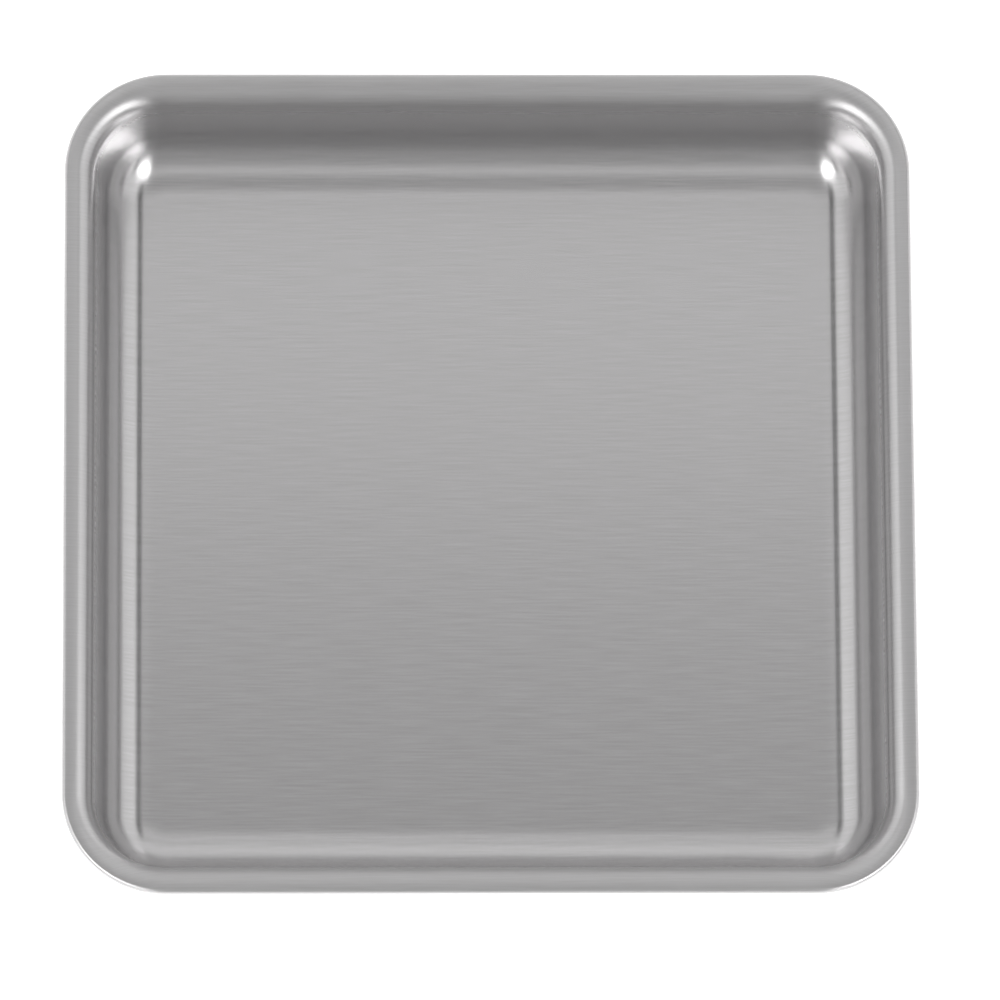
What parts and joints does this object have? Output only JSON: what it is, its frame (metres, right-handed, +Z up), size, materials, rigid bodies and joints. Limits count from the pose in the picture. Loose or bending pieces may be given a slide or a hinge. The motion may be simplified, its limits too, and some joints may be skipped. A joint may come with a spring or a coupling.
{
  "type": "counting tray",
  "caption": "Square shallow pan pressed from one brushed stainless sheet, with a flat floor, rounded foot and corners, sloping walls and a short lip rolled over all round.",
  "frame": {"origin": "centre of the underside of the floor, on the surface that the tray stands on", "axes": "+Z up out of the open tray; X and Y run along its square sides, with the grain of the brushed sheet along X"},
  "size_m": [0.22, 0.22, 0.031],
  "materials": {
    "brushed_stainless": "brushed"
  },
  "bodies": {
    "root": {"tray_pan": "brushed_stainless"}
  },
  "joints": []
}
